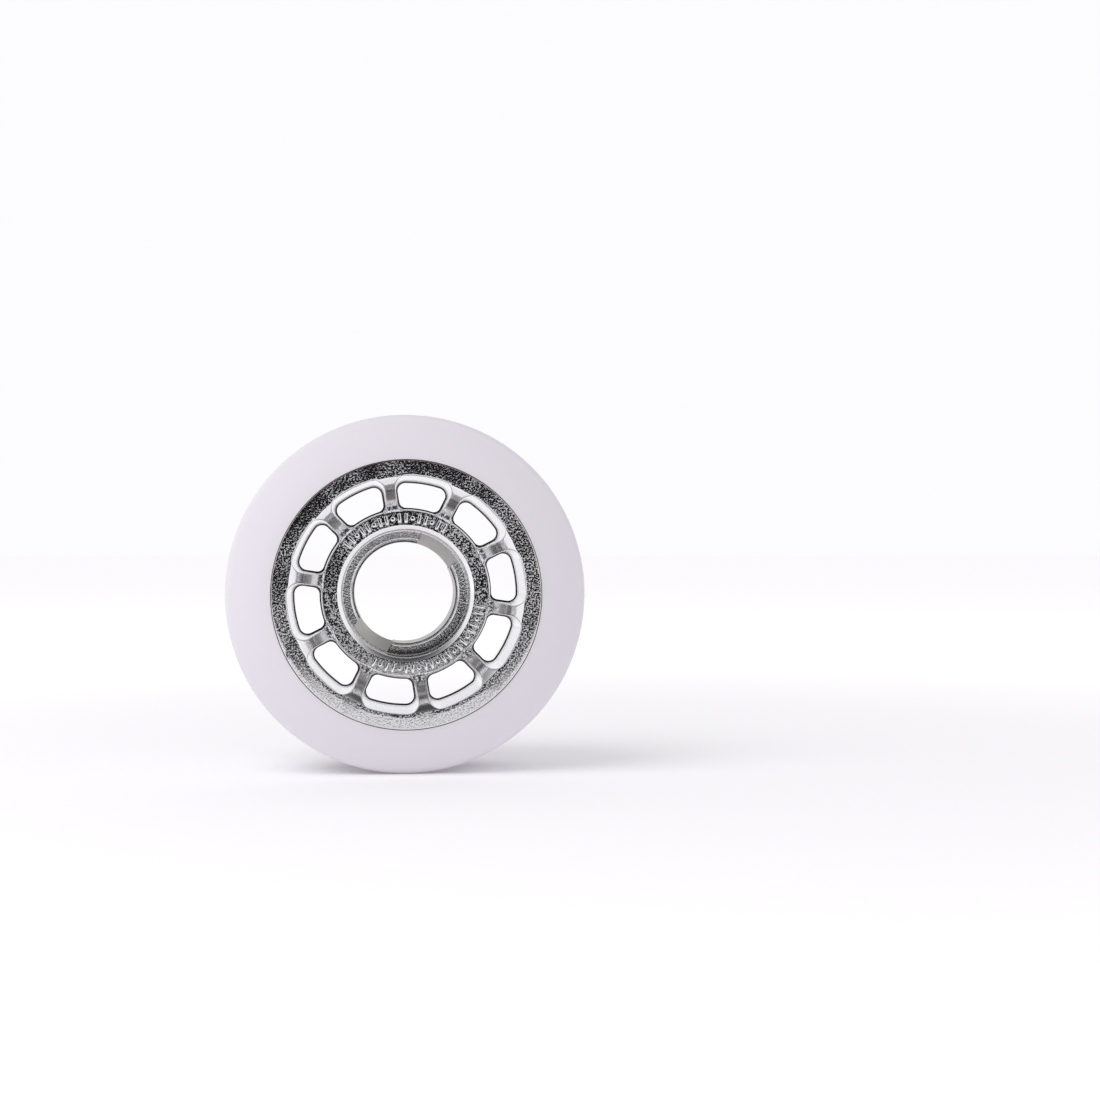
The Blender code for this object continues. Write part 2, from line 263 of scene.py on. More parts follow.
def sector_half(outer, inner, beside):
    """Half the sector's edge, point for point with the window's half outline beside it.

    It follows the outer arc, the spoke's middle line at the outline's own radii, and the inner arc.
    """
    half = PITCH / 2

    def on_arc(radius, share):
        return Vector((math.cos(half * share), math.sin(half * share))) * radius

    root = [point.length < FLAT_INNER + SLOPE_BLEND for point in beside].index(True)
    tail = INNER_CORNER - INNER_CORNER // 2 - 1 + INNER_ARC
    foot = len(beside) - 1 - tail - FOOT_STEPS
    points = [on_arc(outer, index / (root - 1)) for index in range(root)]
    points += [on_arc(beside[index].length, 1) for index in range(root, foot + 1)]
    for step in range(1, FOOT_STEPS + 1):
        points.append(points[foot].lerp(on_arc(inner, 1), step / FOOT_STEPS))
    points += [on_arc(inner, 1 - index / tail) for index in range(1, tail + 1)]
    return points


def web_front(radius):
    """Depth of the front surface: flat flange, bowed spoke, and the barrel's proud end."""
    if radius < SPOKE_FOOT:
        share = max(0.0, (radius - BARREL_LIP) / (SPOKE_FOOT - BARREL_LIP))
        return BARREL_FRONT + SPOKE_STEP * share * share * (3 - 2 * share)
    run = FLAT_INNER - SPOKE_FOOT
    inward = (FLAT_INNER - radius) / run
    blend = SLOPE_BLEND / run
    if inward <= -blend:
        return 0.0
    start = (inward + blend) ** 2 / (4 * blend) if inward < blend else inward
    return (BARREL_FRONT + SPOKE_STEP) * (ROOT_SLOPE * start + (1 - ROOT_SLOPE) * start * start)


def sector_rings():
    """The sector's rings, from its front edge over the lip, down the wall and out at the back."""
    inner = BARREL_SIDE + 0.15 * MM
    at_front = window_half(WINDOW_FRONT, BARREL_SIDE, HALF_SPOKE_FRONT, 2.0 * MM, 1.4 * MM)
    at_ledge = window_half(WINDOW_LEDGE, inner, HALF_SPOKE_LEDGE, 1.6 * MM, 1.4 * MM)
    at_parting = window_half(WINDOW_LEDGE - LEDGE, inner + LEDGE, HALF_SPOKE_LEDGE + LEDGE,
                             1.35 * MM, 1.15 * MM)
    at_back = window_half(WINDOW_BACK, BARREL_SIDE + LEDGE / 2, HALF_SPOKE_BACK, 1.7 * MM, 1.3 * MM)
    front_edge = sector_half(RIM_RADIUS - FLANGE_EDGE, BARREL_EDGE, at_front)
    back_edge = sector_half(WINDOW_FRONT, BARREL_SIDE - 0.05 * MM, at_front)
    columns = []
    for index, edge in enumerate(front_edge):
        top = at_front[index]
        top_depth = web_front(top.length)
        wall_top = Vector((*top, top_depth))
        wall_foot = Vector((*at_ledge[index], PARTING - 0.03 * MM))
        lip = min(LIP, 0.35 * (edge - top).length)
        out = top + (edge - top).normalized() * lip
        column = []
        for share in (0.0, 0.25, 0.5, 0.75, 1.0):
            place = edge.lerp(out, share)
            column.append((*place, web_front(place.length)))
        start = Vector(column[-1])
        end = wall_top.lerp(wall_foot, lip / (PARTING - top_depth))
        for share in (0.25, 0.5, 0.75, 1.0):
            first, second = start.lerp(wall_top, share), wall_top.lerp(end, share)
            column.append(tuple(first.lerp(second, share)))
        step_in = end + Vector((*(top - edge).normalized(), 0)) * LIP_STEP
        for share in (0.02, 0.3, 0.6, 0.85, 1.0):
            column.append(tuple(step_in.lerp(wall_foot, share)))
        for share, depth in ((0.06, 0.0), (0.94, 0.01 * MM), (1.0, 0.06 * MM)):
            column.append((*at_ledge[index].lerp(at_parting[index], share), PARTING + depth))
        column.append((*at_parting[index], PARTING + LEDGE))
        for share in (0.5, 0.95):
            depth = PARTING + LEDGE + (WEB_BACK - PARTING - LEDGE) * share
            column.append((*at_parting[index].lerp(at_back[index], share), depth))
        column.append((*at_back[index].lerp(back_edge[index], 0.08), WEB_BACK - 0.05 * MM))
        column.append((*at_back[index].lerp(back_edge[index], 0.25), WEB_BACK))
        column.append((*back_edge[index], WEB_BACK))
        columns.append(column)
    rings = []
    for level in range(len(columns[0])):
        half = [column[level] for column in columns]
        other = [(x, -y, depth) for x, y, depth in reversed(half[1:-1])]
        rings.append(half + other)
    return rings


def shape_ring(mesh, points):
    """Sets the selected ring's points; each keeps the place number that extruding copied."""
    bm = bmesh.from_edit_mesh(mesh)
    place = bm.verts.layers.int["place"]
    for vert in bm.verts:
        if vert.select:
            vert.co = points[vert[place]]
    bmesh.update_edit_mesh(mesh)


def select_circle(mesh, radius, depth, tolerance=0.004 * MM):
    """Selects the open ring of edges at this radius and depth."""
    bpy.ops.mesh.select_all(action="DESELECT")
    bm = bmesh.from_edit_mesh(mesh)
    for edge in bm.edges:
        if edge.is_boundary and all(
                abs(math.hypot(vert.co.x, vert.co.y) - radius) < tolerance
                and abs(vert.co.z - depth) < tolerance for vert in edge.verts):
            edge.select_set(True)
    bm.select_flush_mode()
    bmesh.update_edit_mesh(mesh)


def pull_profile(mesh, profile):
    select_circle(mesh, *profile[0])
    for here, there in zip(profile, profile[1:]):
        pull_ring(here, there)


def barrel_profile():
    """From the front annulus through both seats and round the boss, to the web's back."""
    front_shoulder = BARREL_FRONT + SEAT_DEPTH
    back_shoulder = WIDTH - SEAT_DEPTH
    chamfer = BORE_RADIUS + SHOULDER_CHAMFER
    ring, mouth = (12.2 * MM, BARREL_FRONT), (SEAT_RADIUS + SEAT_MOUTH, BARREL_FRONT)
    throat = (SEAT_RADIUS, BARREL_FRONT + SEAT_MOUTH_DEPTH)
    profile = [(BARREL_EDGE, BARREL_FRONT), ring, (12.0 * MM, BARREL_FRONT)]
    profile += rounded(ring, mouth, throat, 0.25 * MM, 4)
    profile += rounded(mouth, throat, (SEAT_RADIUS, front_shoulder), 0.3 * MM, 4)
    profile += [(SEAT_RADIUS, front_shoulder - 0.15 * MM)]
    profile += [(SEAT_RADIUS - 0.05 * MM, front_shoulder - 0.04 * MM)]
    profile += [(SEAT_RADIUS - 0.15 * MM, front_shoulder)]
    profile += [(SEAT_RADIUS - 0.25 * MM, front_shoulder)]
    profile += [(chamfer + 0.16 * MM, front_shoulder)]
    profile += [(chamfer + 0.08 * MM, front_shoulder)]
    profile += [(chamfer, front_shoulder + 0.03 * MM)]
    profile += [(BORE_RADIUS + 0.05 * MM, front_shoulder + SHOULDER_CHAMFER - 0.04 * MM)]
    profile += [(BORE_RADIUS, front_shoulder + SHOULDER_CHAMFER + 0.06 * MM)]
    profile += [(BORE_RADIUS, (front_shoulder + back_shoulder) / 2)]
    profile += [(BORE_RADIUS, back_shoulder - SHOULDER_CHAMFER - 0.06 * MM)]
    profile += [(chamfer, back_shoulder - 0.03 * MM)]
    profile += [(chamfer + 0.08 * MM, back_shoulder)]
    profile += [(chamfer + 0.16 * MM, back_shoulder)]
    profile += [(SEAT_RADIUS - 0.25 * MM, back_shoulder)]
    profile += [(SEAT_RADIUS - 0.15 * MM, back_shoulder)]
    profile += [(SEAT_RADIUS, back_shoulder + 0.15 * MM)]
    profile += rounded(profile[-1], (SEAT_RADIUS, WIDTH), (BOSS_RADIUS, WIDTH), 0.6 * MM, 6)
    boss_end = (BOSS_RADIUS, WIDTH)
    web_back = (BARREL_SIDE - 0.05 * MM, WEB_BACK)
    profile += rounded((SEAT_RADIUS, WIDTH), boss_end, web_back, BOSS_CHAMFER, 8)
    profile += [web_back]
    return profile


def rim_profile():
    """From the front flange's edge down the outside, over the back edge and up the sleeve."""
    profile = [(RIM_RADIUS - FLANGE_EDGE, 0.0)]
    profile += arc((RIM_RADIUS - FLANGE_EDGE, FLANGE_EDGE), FLANGE_EDGE, -90, 0, 3)[1:]
    profile += arc((RIM_RADIUS - FLANGE_EDGE, RIM_WIDTH - FLANGE_EDGE), FLANGE_EDGE, 0, 90, 3)
    profile += arc((SLEEVE_BACK + 0.3 * MM, RIM_WIDTH - 0.3 * MM), 0.3 * MM, 90, 180, 4)
    profile += [(20.15 * MM, WEB_BACK + 0.6 * MM), (20.12 * MM, WEB_BACK + 0.1 * MM)]
    profile += [(WINDOW_FRONT, WEB_BACK)]
    return profile


def notch_plug(depth, inward):
    """A cone trimmed to a slot's width, to cut the ramped notches in one shoulder."""
    mouth, foot = SEAT_RADIUS - 0.2 * MM, BORE_RADIUS - 0.1 * MM
    slope = (mouth - foot) / NOTCH_RUN
    lead = 0.3 * MM
    length = NOTCH_RUN + lead
    deselect()
    bpy.ops.mesh.primitive_cone_add(
        vertices=160, radius1=mouth + slope * lead, radius2=foot, depth=length,
        location=(0, 0, length / 2 - lead))
    plug = bpy.context.object
    bpy.ops.object.transform_apply(location=True)
    bpy.ops.object.mode_set(mode="EDIT")
    for side in (-1, 1):
        bpy.ops.mesh.select_all(action="SELECT")
        bpy.ops.mesh.bisect(
            plane_co=(0, side * NOTCH_WIDTH / 2, 0), plane_no=(0, side, 0),
            use_fill=True, clear_outer=True)
    bpy.ops.mesh.select_all(action="SELECT")
    bpy.ops.mesh.normals_make_consistent(inside=False)
    bpy.ops.object.mode_set(mode="OBJECT")
    if inward < 0:
        plug.rotation_euler = (math.pi, 0, 0)
        bpy.ops.object.transform_apply(rotation=True)
    plug.rotation_euler = (0, 0, clock(NOTCH_PHASE))
    plug.location = (0, 0, depth)
    bpy.ops.object.transform_apply(location=True, rotation=True)
    return plug


def cut_away(piece, cutter):
    deselect()
    bpy.context.view_layer.objects.active = piece
    piece.select_set(True)
    cut = piece.modifiers.new("notch", "BOOLEAN")
    cut.operation = "DIFFERENCE"
    cut.solver = "EXACT"
    cut.object = cutter
    bpy.ops.object.modifier_apply(modifier=cut.name)
    bpy.data.objects.remove(cutter, do_unlink=True)


def make_hub():
    rings = sector_rings()
    hub = begin_ring("chromed_hub", 1 * MM, 0, len(rings[0]))
    mesh = hub.data
    bm = bmesh.from_edit_mesh(mesh)
    place = bm.verts.layers.int.new("place")
    bm.verts.ensure_lookup_table()
    for index, vert in enumerate(bm.verts):
        vert[place] = index
    bmesh.update_edit_mesh(mesh)
    shape_ring(mesh, rings[0])
    for ring in rings[1:]:
        bpy.ops.mesh.extrude_edges_move()
        shape_ring(mesh, ring)
    bpy.ops.mesh.select_all(action="SELECT")
    bpy.ops.transform.rotate(
        value=-clock(WINDOW_PHASE), orient_axis="Z", center_override=(0, 0, 0))
    bpy.ops.mesh.select_all(action="SELECT")
    bpy.ops.mesh.spin(
        steps=WINDOWS, dupli=True, angle=2 * math.pi, center=(0, 0, 0), axis=(0, 0, 1))
    bpy.ops.mesh.select_all(action="SELECT")
    bpy.ops.mesh.remove_doubles(threshold=0.003 * MM)
    pull_profile(mesh, barrel_profile())
    pull_profile(mesh, rim_profile())
    bpy.ops.mesh.select_all(action="SELECT")
    bpy.ops.mesh.remove_doubles(threshold=0.003 * MM)
    bpy.ops.mesh.normals_make_consistent(inside=False)
    bpy.ops.object.mode_set(mode="OBJECT")
    cut_away(hub, notch_plug(BARREL_FRONT + SEAT_DEPTH, 1))
    cut_away(hub, notch_plug(WIDTH - SEAT_DEPTH, -1))
    stand_up(hub)
    smooth(hub, 32)
    keep_flats_flat(hub)
    return hub


# ---- raised marks on the hub's inner ring ----------------------------------------------
MARK_RADIUS = 13.0 * MM
MARK_RISE = 0.35 * MM
MARK_SUNK = 0.05 * MM
MARK_LENGTH = 1.7 * MM
MARK_BREADTH = 0.62 * MM
MARK_DOT_RADIUS = 0.44 * MM
MARK_CROWN = 0.24 * MM
MARK_PITCH = math.radians(5.0)
MARK_ARCS = ((-50, 17), (100, 22))                # first clock angle in degrees, number of marks


def crown(piece, width):
    """Rounds the edges of a mark's top, which looks out of the wheel's open front."""
    bpy.ops.object.mode_set(mode="EDIT")
    bpy.ops.mesh.select_mode(type="FACE")
    bpy.ops.mesh.select_all(action="DESELECT")
    bm = bmesh.from_edit_mesh(piece.data)
    for face in bm.faces:
        face.select_set(face.normal.z < -0.9)
    bmesh.update_edit_mesh(piece.data)
    bpy.ops.mesh.bevel(offset=width, segments=3, affect="EDGES")
    bpy.ops.object.mode_set(mode="OBJECT")


def make_marks():
    """Plain bars in pairs with a dot between, cast on the annulus in two arcs."""
    rise = MARK_RISE + MARK_SUNK
    place = (MARK_RADIUS, 0, BARREL_FRONT + MARK_SUNK - rise / 2)
    deselect()
    bpy.ops.mesh.primitive_cube_add(size=1, location=place)
    bar = bpy.context.object
    bar.scale = (MARK_LENGTH, MARK_BREADTH, rise)
    bpy.ops.object.transform_apply(location=True, scale=True)
    crown(bar, MARK_CROWN)
    deselect()
    bpy.ops.mesh.primitive_cylinder_add(vertices=24, radius=MARK_DOT_RADIUS, depth=rise, location=place)
    dot = bpy.context.object
    bpy.ops.object.transform_apply(location=True)
    crown(dot, MARK_CROWN)
    copies = []
    for first, count in MARK_ARCS:
        for index in range(count):
            mark = dot if index % 3 == 2 else bar
            copy = mark.copy()
            copy.data = mark.data.copy()
            bpy.context.scene.collection.objects.link(copy)
            copy.rotation_euler = (0, 0, clock(math.radians(first) + MARK_PITCH * index))
            copies.append(copy)
    deselect()
    for copy in copies:
        copy.select_set(True)
    bpy.context.view_layer.objects.active = copies[0]
    bpy.ops.object.transform_apply(rotation=True)
    bpy.ops.object.join()
    marks = bpy.context.object
    marks.name = "hub_raised_marks"
    bpy.data.objects.remove(bar, do_unlink=True)
    bpy.data.objects.remove(dot, do_unlink=True)
    stand_up(marks)
    smooth(marks, 35)
    return marks


# ---- tyre and bond film --------------------------------------------------------------
def tyre_profile():
    front_edge = (TYRE_BORE, 0.02 * MM)
    back_edge = (TYRE_BORE, TYRE_WIDTH)
    front_corner = (TREAD_RADIUS, TREAD_START)
    back_corner = (TREAD_RADIUS, TYRE_WIDTH - TREAD_END_RISE)
    floor = TREAD_RADIUS - GROOVE_DEPTH
    top_front = (TREAD_RADIUS, GROOVE_START)
    floor_front = (floor, GROOVE_START + 0.1 * MM)
    floor_back = (floor, GROOVE_START + GROOVE_FLOOR)
    top_back = (TREAD_RADIUS, GROOVE_START + GROOVE_FLOOR + GROOVE_BACK_RUN)
    back_round = rounded(back_edge, back_corner, top_back, CORNER_ROUND, 10)
    front_round = rounded(top_front, front_corner, front_edge, CORNER_ROUND, 10)
    profile = [back_edge]
    profile += bowed(back_edge, back_round[0], SIDEWALL_BULGE)
    profile += back_round
    profile += rounded(back_round[-1], top_back, floor_back, 0.4 * MM, 5)
    profile += rounded(top_back, floor_back, floor_front, 0.8 * MM, 6)
    profile += rounded(floor_back, floor_front, top_front, 0.25 * MM, 4)
    profile += rounded(floor_front, top_front, front_round[0], 0.2 * MM, 4)
    profile += front_round
    profile += bowed(front_round[-1], front_edge, SIDEWALL_BULGE)
    profile += [front_edge]
    return profile


def make_tyre():
    tyre = turn_profile("polyurethane_tyre", tyre_profile(), TURN_STEPS)
    stand_up(tyre)
    smooth(tyre, 40)
    return tyre


# ---- printing on the back sidewall -------------------------------------------------------
PRINT_RADIUS = 26.2 * MM
PRINT_LENGTH = 2.3 * MM
PRINT_BREADTH = 1.35 * MM
PRINT_SLANT = 0.6 * MM
PRINT_DOT_RADIUS = 0.45 * MM
PRINT_LIFT = 0.02 * MM
PRINT_ANGLES = (50, 55.5, 61, 67, 73, 78.5, 84, 89.5)   # clock angles, in degrees
PRINT_DOT = 67
INK_THICKNESS = 0.03 * MM


def shaped_stamp(dot):
    """One flat stamp, lying behind the tyre: a slanted bar, or a round dot."""
    place = (PRINT_RADIUS, 0, WIDTH)
    deselect()
    if dot:
        bpy.ops.mesh.primitive_circle_add(
            vertices=24, radius=PRINT_DOT_RADIUS, fill_type="NGON", location=place)
    else:
        bpy.ops.mesh.primitive_plane_add(size=1.0, location=place)
        bpy.context.object.scale = (PRINT_LENGTH, PRINT_BREADTH, 1)
    stamp = bpy.context.object
    bpy.ops.object.transform_apply(location=True, scale=True)
    bpy.ops.object.mode_set(mode="EDIT")
    bpy.ops.mesh.select_mode(type="EDGE")
    if not dot:
        bpy.ops.mesh.select_all(action="DESELECT")
        bm = bmesh.from_edit_mesh(stamp.data)
        for edge in bm.edges:
            edge.select_set(all(vert.co.x > PRINT_RADIUS + 1 * MM for vert in edge.verts))
        bmesh.update_edit_mesh(stamp.data)
        bpy.ops.transform.translate(value=(0, -PRINT_SLANT, 0))
        bpy.ops.mesh.select_all(action="SELECT")
        bpy.ops.mesh.subdivide(number_cuts=7)
    bpy.ops.object.mode_set(mode="OBJECT")
    return stamp


def make_print(tyre):
    """Slanted bars and one dot, pad-printed on the back sidewall in place of any wording."""
    stamps = []
    for angle in PRINT_ANGLES:
        stamp = shaped_stamp(angle == PRINT_DOT)
        stamp.rotation_euler = (0, 0, clock(math.radians(angle)))
        bpy.ops.object.transform_apply(rotation=True)
        stamps.append(stamp)
    deselect()
    for stamp in stamps:
        stamp.select_set(True)
    bpy.context.view_layer.objects.active = stamps[0]
    bpy.ops.object.join()
    ink = bpy.context.object
    ink.name = "tyre_printed_marks"
    stand_up(ink)
    wrap = ink.modifiers.new("lay on the sidewall", "SHRINKWRAP")
    wrap.target = tyre
    wrap.wrap_method = "PROJECT"
    wrap.use_project_y = True
    wrap.use_positive_direction = False
    wrap.use_negative_direction = True
    wrap.offset = PRINT_LIFT
    bpy.ops.object.modifier_apply(modifier=wrap.name)
    film = ink.modifiers.new("ink film", "SOLIDIFY")
    film.thickness = INK_THICKNESS
    film.offset = -1
    bpy.ops.object.modifier_apply(modifier=film.name)
    smooth(ink, 40)
    return ink


def make_bond_film():
    inset = 0.03 * MM
    profile = [(BOND_OUTER, RIM_WIDTH - inset), (BOND_OUTER, inset)]
    profile += [(BOND_INNER, inset), (BOND_INNER, RIM_WIDTH - inset)]
    film = turn_profile("bond_film", profile, TURN_STEPS)
    stand_up(film)
    smooth(film, 30)
    return film


# ---- materials ------------------------------------------------------------------------
def linear(code):
    """An sRGB hex colour as linear red, green, blue and alpha."""
    values = [int(code[index:index + 2], 16) / 255 for index in (0, 2, 4)]
    return tuple(v / 12.92 if v <= 0.04045 else ((v + 0.055) / 1.055) ** 2.4 for v in values) + (1,)


def add_node(tree, kind, settings=None, inputs=None, links=None):
    """Adds a node; settings are its properties, inputs its values, links the sockets feeding it."""
    node = tree.nodes.new(kind)
    for name, value in (settings or {}).items():
        setattr(node, name, value)
    for name, value in (inputs or {}).items():
        node.inputs[name].default_value = value
    for name, socket in (links or {}).items():
        tree.links.new(socket, node.inputs[name])
    return node


def new_material(name, values):
    material = bpy.data.materials.new(name)
    material.use_nodes = True
    tree = material.node_tree
    shader = tree.nodes["Principled BSDF"]
    for socket, value in values.items():
        shader.inputs[socket].default_value = value
    return material, tree, shader


def polished_chrome():
    """Decorative chrome over a die casting's smooth faces: a hard mirror with a faint ripple."""
    material, tree, shader = new_material("chrome_plate_polished", {
        "Base Color": linear("F2F2F3"), "Metallic": 1.0, "Roughness": 0.16})
    place = add_node(tree, "ShaderNodeTexCoord")
    ripple = add_node(tree, "ShaderNodeTexNoise", inputs={"Scale": 1 / (0.9 * MM), "Detail": 2.0},
                      links={"Vector": place.outputs["Object"]})
    bump = add_node(tree, "ShaderNodeBump", inputs={"Strength": 0.5, "Distance": 0.02 * MM},
                    links={"Height": ripple.outputs["Fac"]})
    tree.links.new(bump.outputs["Normal"], shader.inputs["Normal"])
    return material


BRUSHED_SIDE = (-0.64, 0, 0.77)                   # the polishing brush laid the texture down here


def textured_chrome():
    """The same chrome over spark-eroded mould faces: flat mirror, strewn with bumps 0.3 mm across."""
    material, tree, shader = new_material("chrome_plate_spark_texture", {
        "Base Color": linear("DADADB"), "Metallic": 1.0, "Roughness": 0.10})
    place = add_node(tree, "ShaderNodeTexCoord")
    grain = add_node(tree, "ShaderNodeTexNoise",
                     inputs={"Scale": 1 / (0.30 * MM), "Detail": 2.0, "Roughness": 0.6},
                     links={"Vector": place.outputs["Object"]})
    bumps = add_node(tree, "ShaderNodeMapRange", settings={"interpolation_type": "SMOOTHSTEP"},
                     inputs={"From Min": 0.50, "From Max": 0.72},
                     links={"Value": grain.outputs["Fac"]})
    wear = add_node(tree, "ShaderNodeTexNoise", inputs={"Scale": 1 / (5 * MM), "Detail": 2.0},
                    links={"Vector": place.outputs["Object"]})
    patches = add_node(tree, "ShaderNodeMapRange", settings={"interpolation_type": "SMOOTHSTEP"},
                       inputs={"From Min": 0.38, "From Max": 0.60, "To Min": 0.5, "To Max": 1.2},
                       links={"Value": wear.outputs["Fac"]})
    flat = add_node(tree, "ShaderNodeVectorMath", settings={"operation": "MULTIPLY"},
                    inputs={1: (1, 0, 1)}, links={0: place.outputs["Object"]})
    outward = add_node(tree, "ShaderNodeVectorMath", settings={"operation": "NORMALIZE"},
                       links={0: flat.outputs["Vector"]})
    brushed_side = add_node(tree, "ShaderNodeVectorMath", settings={"operation": "DOT_PRODUCT"},
                            inputs={1: BRUSHED_SIDE}, links={0: outward.outputs["Vector"]})
    worn = add_node(tree, "ShaderNodeMapRange", settings={"interpolation_type": "SMOOTHSTEP"},
                    inputs={"From Min": 0.1, "From Max": 0.95, "To Min": 1.0, "To Max": 0.7},
                    links={"Value": brushed_side.outputs["Value"]})
    laid = add_node(tree, "ShaderNodeMath", settings={"operation": "MULTIPLY"},
                    links={0: worn.outputs["Result"], 1: patches.outputs["Result"]})
    height = add_node(tree, "ShaderNodeMath", settings={"operation": "MULTIPLY"},
                      links={0: bumps.outputs["Result"], 1: laid.outputs[0]})
    bump = add_node(tree, "ShaderNodeBump", inputs={"Strength": 1.0, "Distance": 0.045 * MM},
                    links={"Height": height.outputs[0]})
    tree.links.new(bump.outputs["Normal"], shader.inputs["Normal"])
    return material


def shoulder_chrome():
    """Chrome over the faces that the bearings rest on, turned and left satin: a fine even grain."""
    material, tree, shader = new_material("chrome_plate_satin_shoulder", {
        "Base Color": linear("E4E4E4"), "Metallic": 1.0, "Roughness": 0.24})
    place = add_node(tree, "ShaderNodeTexCoord")
    grain = add_node(tree, "ShaderNodeTexNoise", inputs={"Scale": 1 / (0.35 * MM), "Detail": 2.0},
                     links={"Vector": place.outputs["Object"]})
    bump = add_node(tree, "ShaderNodeBump", inputs={"Strength": 1.0, "Distance": 0.06 * MM},
                    links={"Height": grain.outputs["Fac"]})
    tree.links.new(bump.outputs["Normal"], shader.inputs["Normal"])
    return material


def thin_chrome():
    """Plating that barely reaches into the bore: greyer, and dulled by the rough casting under it."""
    material, tree, shader = new_material("chrome_plate_thin_in_bore", {
        "Base Color": linear("A9A7A3"), "Metallic": 1.0, "Roughness": 0.3})
    place = add_node(tree, "ShaderNodeTexCoord")
    cloud = add_node(tree, "ShaderNodeTexNoise", inputs={"Scale": 1 / (2.5 * MM), "Detail": 3.0},
                     links={"Vector": place.outputs["Object"]})
    dull = add_node(tree, "ShaderNodeMapRange", inputs={"To Min": 0.22, "To Max": 0.42},
                    links={"Value": cloud.outputs["Fac"]})
    tree.links.new(dull.outputs["Result"], shader.inputs["Roughness"])
    return material


def painted_shade_line():
    """Painted shade on the ledge at the parting plane: a dark grey metal, so that the ledge reads as a
    dark line under any light.
    """
    material, tree, shader = new_material("parting_ledge_painted_shade", {
        "Base Color": linear("5C5A59"), "Metallic": 1.0, "Roughness": 0.4})
    place = add_node(tree, "ShaderNodeTexCoord")
    cloud = add_node(tree, "ShaderNodeTexNoise", inputs={"Scale": 1 / (0.8 * MM), "Detail": 2.0},
                     links={"Vector": place.outputs["Object"]})
    dull = add_node(tree, "ShaderNodeMapRange", inputs={"To Min": 0.3, "To Max": 0.5},
                    links={"Value": cloud.outputs["Fac"]})
    tree.links.new(dull.outputs["Result"], shader.inputs["Roughness"])
    return material


def cast_polyurethane():
    """Hard white polyurethane, cast and then ground: milky and satin, with fine lathe lines."""
    material, tree, shader = new_material("cast_polyurethane_white", {
        "Base Color": linear("E6E2E9"), "Roughness": 0.38, "IOR": 1.5,
        "Subsurface Weight": 0.15, "Subsurface Radius": (1.0, 0.9, 1.1), "Subsurface Scale": 2 * MM})
    place = add_node(tree, "ShaderNodeTexCoord")
    haze = add_node(tree, "ShaderNodeTexNoise", inputs={"Scale": 1 / (6 * MM), "Detail": 3.0},
                    links={"Vector": place.outputs["Object"]})
    sheen = add_node(tree, "ShaderNodeMapRange", inputs={"To Min": 0.34, "To Max": 0.44},
                     links={"Value": haze.outputs["Fac"]})
    along = add_node(tree, "ShaderNodeMapping", inputs={"Scale": (0.02, 1.0, 0.02)},
                     links={"Vector": place.outputs["Object"]})
    lathe_lines = add_node(tree, "ShaderNodeTexNoise",
                           inputs={"Scale": 1 / (0.35 * MM), "Detail": 1.0},
                           links={"Vector": along.outputs["Vector"]})
    bump = add_node(tree, "ShaderNodeBump", inputs={"Strength": 0.2, "Distance": 0.02 * MM},
                    links={"Height": lathe_lines.outputs["Fac"]})
    tree.links.new(sheen.outputs["Result"], shader.inputs["Roughness"])
    tree.links.new(bump.outputs["Normal"], shader.inputs["Normal"])
    return material


def printing_ink():
    """Blue two-part pad-printing ink: thin and matt, a little uneven where the pad lifted."""
    material, tree, shader = new_material("pad_printing_ink_blue", {
        "Base Color": linear("4A6CD4"), "Roughness": 0.5})
    place = add_node(tree, "ShaderNodeTexCoord")
    cloud = add_node(tree, "ShaderNodeTexNoise", inputs={"Scale": 1 / (0.8 * MM), "Detail": 3.0},
                     links={"Vector": place.outputs["Object"]})
    tint = add_node(tree, "ShaderNodeMix", settings={"data_type": "RGBA"},
                    inputs={6: linear("3F62CF"), 7: linear("6F8BE0")}, links={0: cloud.outputs["Fac"]})
    tree.links.new(tint.outputs[2], shader.inputs["Base Color"])
    return material


def cured_adhesive():
    """Heat-cured bonding primer squeezed out at the joint: a thin brown, slightly glossy line."""
    material, tree, shader = new_material("cured_bonding_adhesive", {
        "Base Color": linear("9A7F60"), "Roughness": 0.45})
    place = add_node(tree, "ShaderNodeTexCoord")
    patches = add_node(tree, "ShaderNodeTexNoise", inputs={"Scale": 1 / (3 * MM), "Detail": 3.0},
                       links={"Vector": place.outputs["Object"]})
    tint = add_node(tree, "ShaderNodeMix", settings={"data_type": "RGBA"},
                    inputs={6: linear("2C2622"), 7: linear("8C6F45")}, links={0: patches.outputs["Fac"]})
    tree.links.new(tint.outputs[2], shader.inputs["Base Color"])
    return material


# the last finish is painted shade on the ledge at the parting plane
POLISHED, TEXTURED, SATIN, THIN, PAINTED_SHADE = range(5)


def hub_finish(centre, normal):
    """Which finish a face has, by its depth, its radius and the way it looks."""
    depth = centre.y - FRONT
    radius = math.hypot(centre.x, centre.z)

    def at(level):
        return abs(depth - level) < 0.05 * MM

    if radius < SEAT_RADIUS and (at(BARREL_FRONT + SEAT_DEPTH) or at(WIDTH - SEAT_DEPTH)):
        return SATIN
    if radius < SEAT_RADIUS and BARREL_FRONT + SEAT_DEPTH < depth < WIDTH - SEAT_DEPTH:
        return POLISHED if 0.6 < abs(normal.y) < 0.8 else THIN
    if abs(normal.y) < 0.97:
        return POLISHED
    if at(PARTING) and radius > BARREL_SIDE:
        # the ledge at the parting plane gets painted shade, a dark line in place of its dark reflection
        return PAINTED_SHADE
    flange = depth < 0.1 * MM and radius > 18.9 * MM
    annulus = at(BARREL_FRONT) and SEAT_RADIUS + 0.8 * MM < radius < BARREL_LIP - 0.05 * MM
    back = (at(RIM_WIDTH) and radius > SLEEVE_BACK) or at(WEB_BACK)
    return TEXTURED if flange or annulus or back else POLISHED


